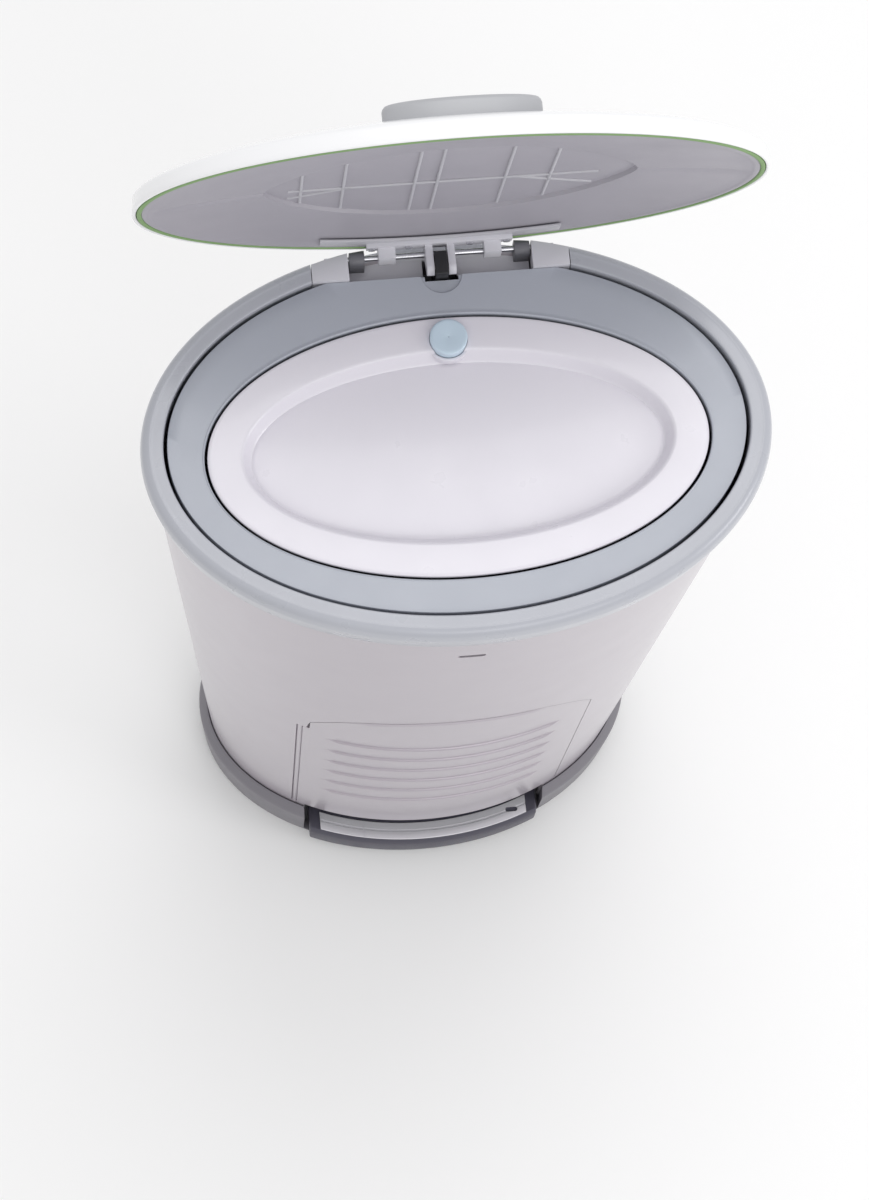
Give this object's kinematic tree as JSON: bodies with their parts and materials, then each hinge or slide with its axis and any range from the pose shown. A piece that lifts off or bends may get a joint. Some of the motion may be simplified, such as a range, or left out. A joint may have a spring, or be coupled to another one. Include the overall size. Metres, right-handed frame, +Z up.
{
  "type": "pedal bin",
  "caption": "Tall oval pedal bin with a hinged lid, an inner trap flap with a push button, a push rod linkage and a front bag door.",
  "frame": {"origin": "on the floor under the middle of the rim, on the underside of the base pad", "axes": "+Z up, the pedal faces -Y, +X to the right of a person at the pedal"},
  "size_m": [0.406, 0.2846, 0.9317],
  "materials": {
    "body_metal": "satin silver",
    "dark_trim": "moulded, fine grain",
    "rim_grey": "satin",
    "deck_grey": "satin",
    "hinge_plastic": "moulded",
    "hinge_ear": "moulded",
    "steel": "turned",
    "inner_plastic": "moulded",
    "cassette_plastic": "moulded",
    "pad_rubber": "matt",
    "black_plastic": "moulded",
    "lid_white": "glossy",
    "liner_grey": "moulded, fine grain",
    "seal_green": "soft",
    "handle_grey": "satin",
    "flap_white": "satin",
    "button_blue": "satin",
    "pedal_grey": "moulded",
    "plate_chrome": "polished",
    "cutter_plastic": "moulded"
  },
  "bodies": {
    "bin": {"body_shell": "body_metal", "base_ring": "dark_trim", "floor_pan": "inner_plastic", "base_pad": "pad_rubber", "inner_floor": "inner_plastic", "rim_collar": "rim_grey", "deck_plate": "deck_grey", "hinge_tray": "hinge_plastic", "hinge_ears": "hinge_ear", "hinge_block_left": "hinge_plastic", "hinge_block_right": "hinge_plastic", "hinge_rod": "steel", "trap_pin_left": "steel", "trap_pin_right": "steel", "rod_duct": "inner_plastic", "rod_guide": "inner_plastic", "cassette_shelf": "inner_plastic", "bag_cassette": "cassette_plastic", "pedal_pin": "steel", "slot_insert": "black_plastic", "door_pin": "steel", "door_catch": "inner_plastic"},
    "lid": {"lid_shell": "lid_white", "lid_liner": "liner_grey", "lid_seal": "seal_green", "lid_handle": "handle_grey", "hinge_leaf": "hinge_plastic", "link_pin": "steel", "lid_screws": "steel"},
    "trap": {"trap_flap": "flap_white", "crank_pin": "steel", "button_spring": "steel"},
    "trap_button": {"trap_button": "button_blue"},
    "push_rod": {"push_rod": "black_plastic", "rod_arm": "black_plastic"},
    "pedal": {"pedal_lever": "steel", "pedal_pad": "pedal_grey", "pedal_plate": "plate_chrome"},
    "door": {"door_panel": "body_metal", "door_strike": "inner_plastic", "bag_cutter": "cutter_plastic"}
  },
  "joints": [
    {"name": "lid_hinge", "type": "hinge", "parent": "bin", "child": "lid", "pos_m": [0, 0.125, 0.6785], "axis": [1, 0, 0], "range_deg": [0, 80.5]},
    {"name": "rod_slide", "type": "slide", "parent": "bin", "child": "push_rod", "axis": [0, 0, -1], "range_m": [0, 0.01635]},
    {"name": "trap_hinge", "type": "hinge", "parent": "bin", "child": "trap", "pos_m": [0, 0.084, 0.6565], "axis": [1, 0, 0], "range_deg": [0, 60]},
    {"name": "pedal_pivot", "type": "hinge", "parent": "bin", "child": "pedal", "pos_m": [0, 0.0094, 0.026], "axis": [1, 0, 0], "range_deg": [-11.34, 0]},
    {"name": "button_push", "type": "slide", "parent": "trap", "child": "trap_button", "axis": [0, 0, -1], "range_m": [0, 0.003], "stiffness_N_per_m": 400, "deforming": ["button_spring"]},
    {"name": "door_hinge", "type": "hinge", "parent": "bin", "child": "door", "pos_m": [-0.10466, -0.0848, 0.057], "axis": [0.0004, 0.0383, -0.9993], "range_deg": [0, 90]}
  ],
  "couplings": [
    {"joint": "rod_slide", "follows": "lid_hinge", "m_per_rad": 0.011637},
    {"joint": "trap_hinge", "follows": "lid_hinge", "ratio": 0.74534},
    {"joint": "pedal_pivot", "follows": "lid_hinge", "ratio": -0.14087}
  ]
}
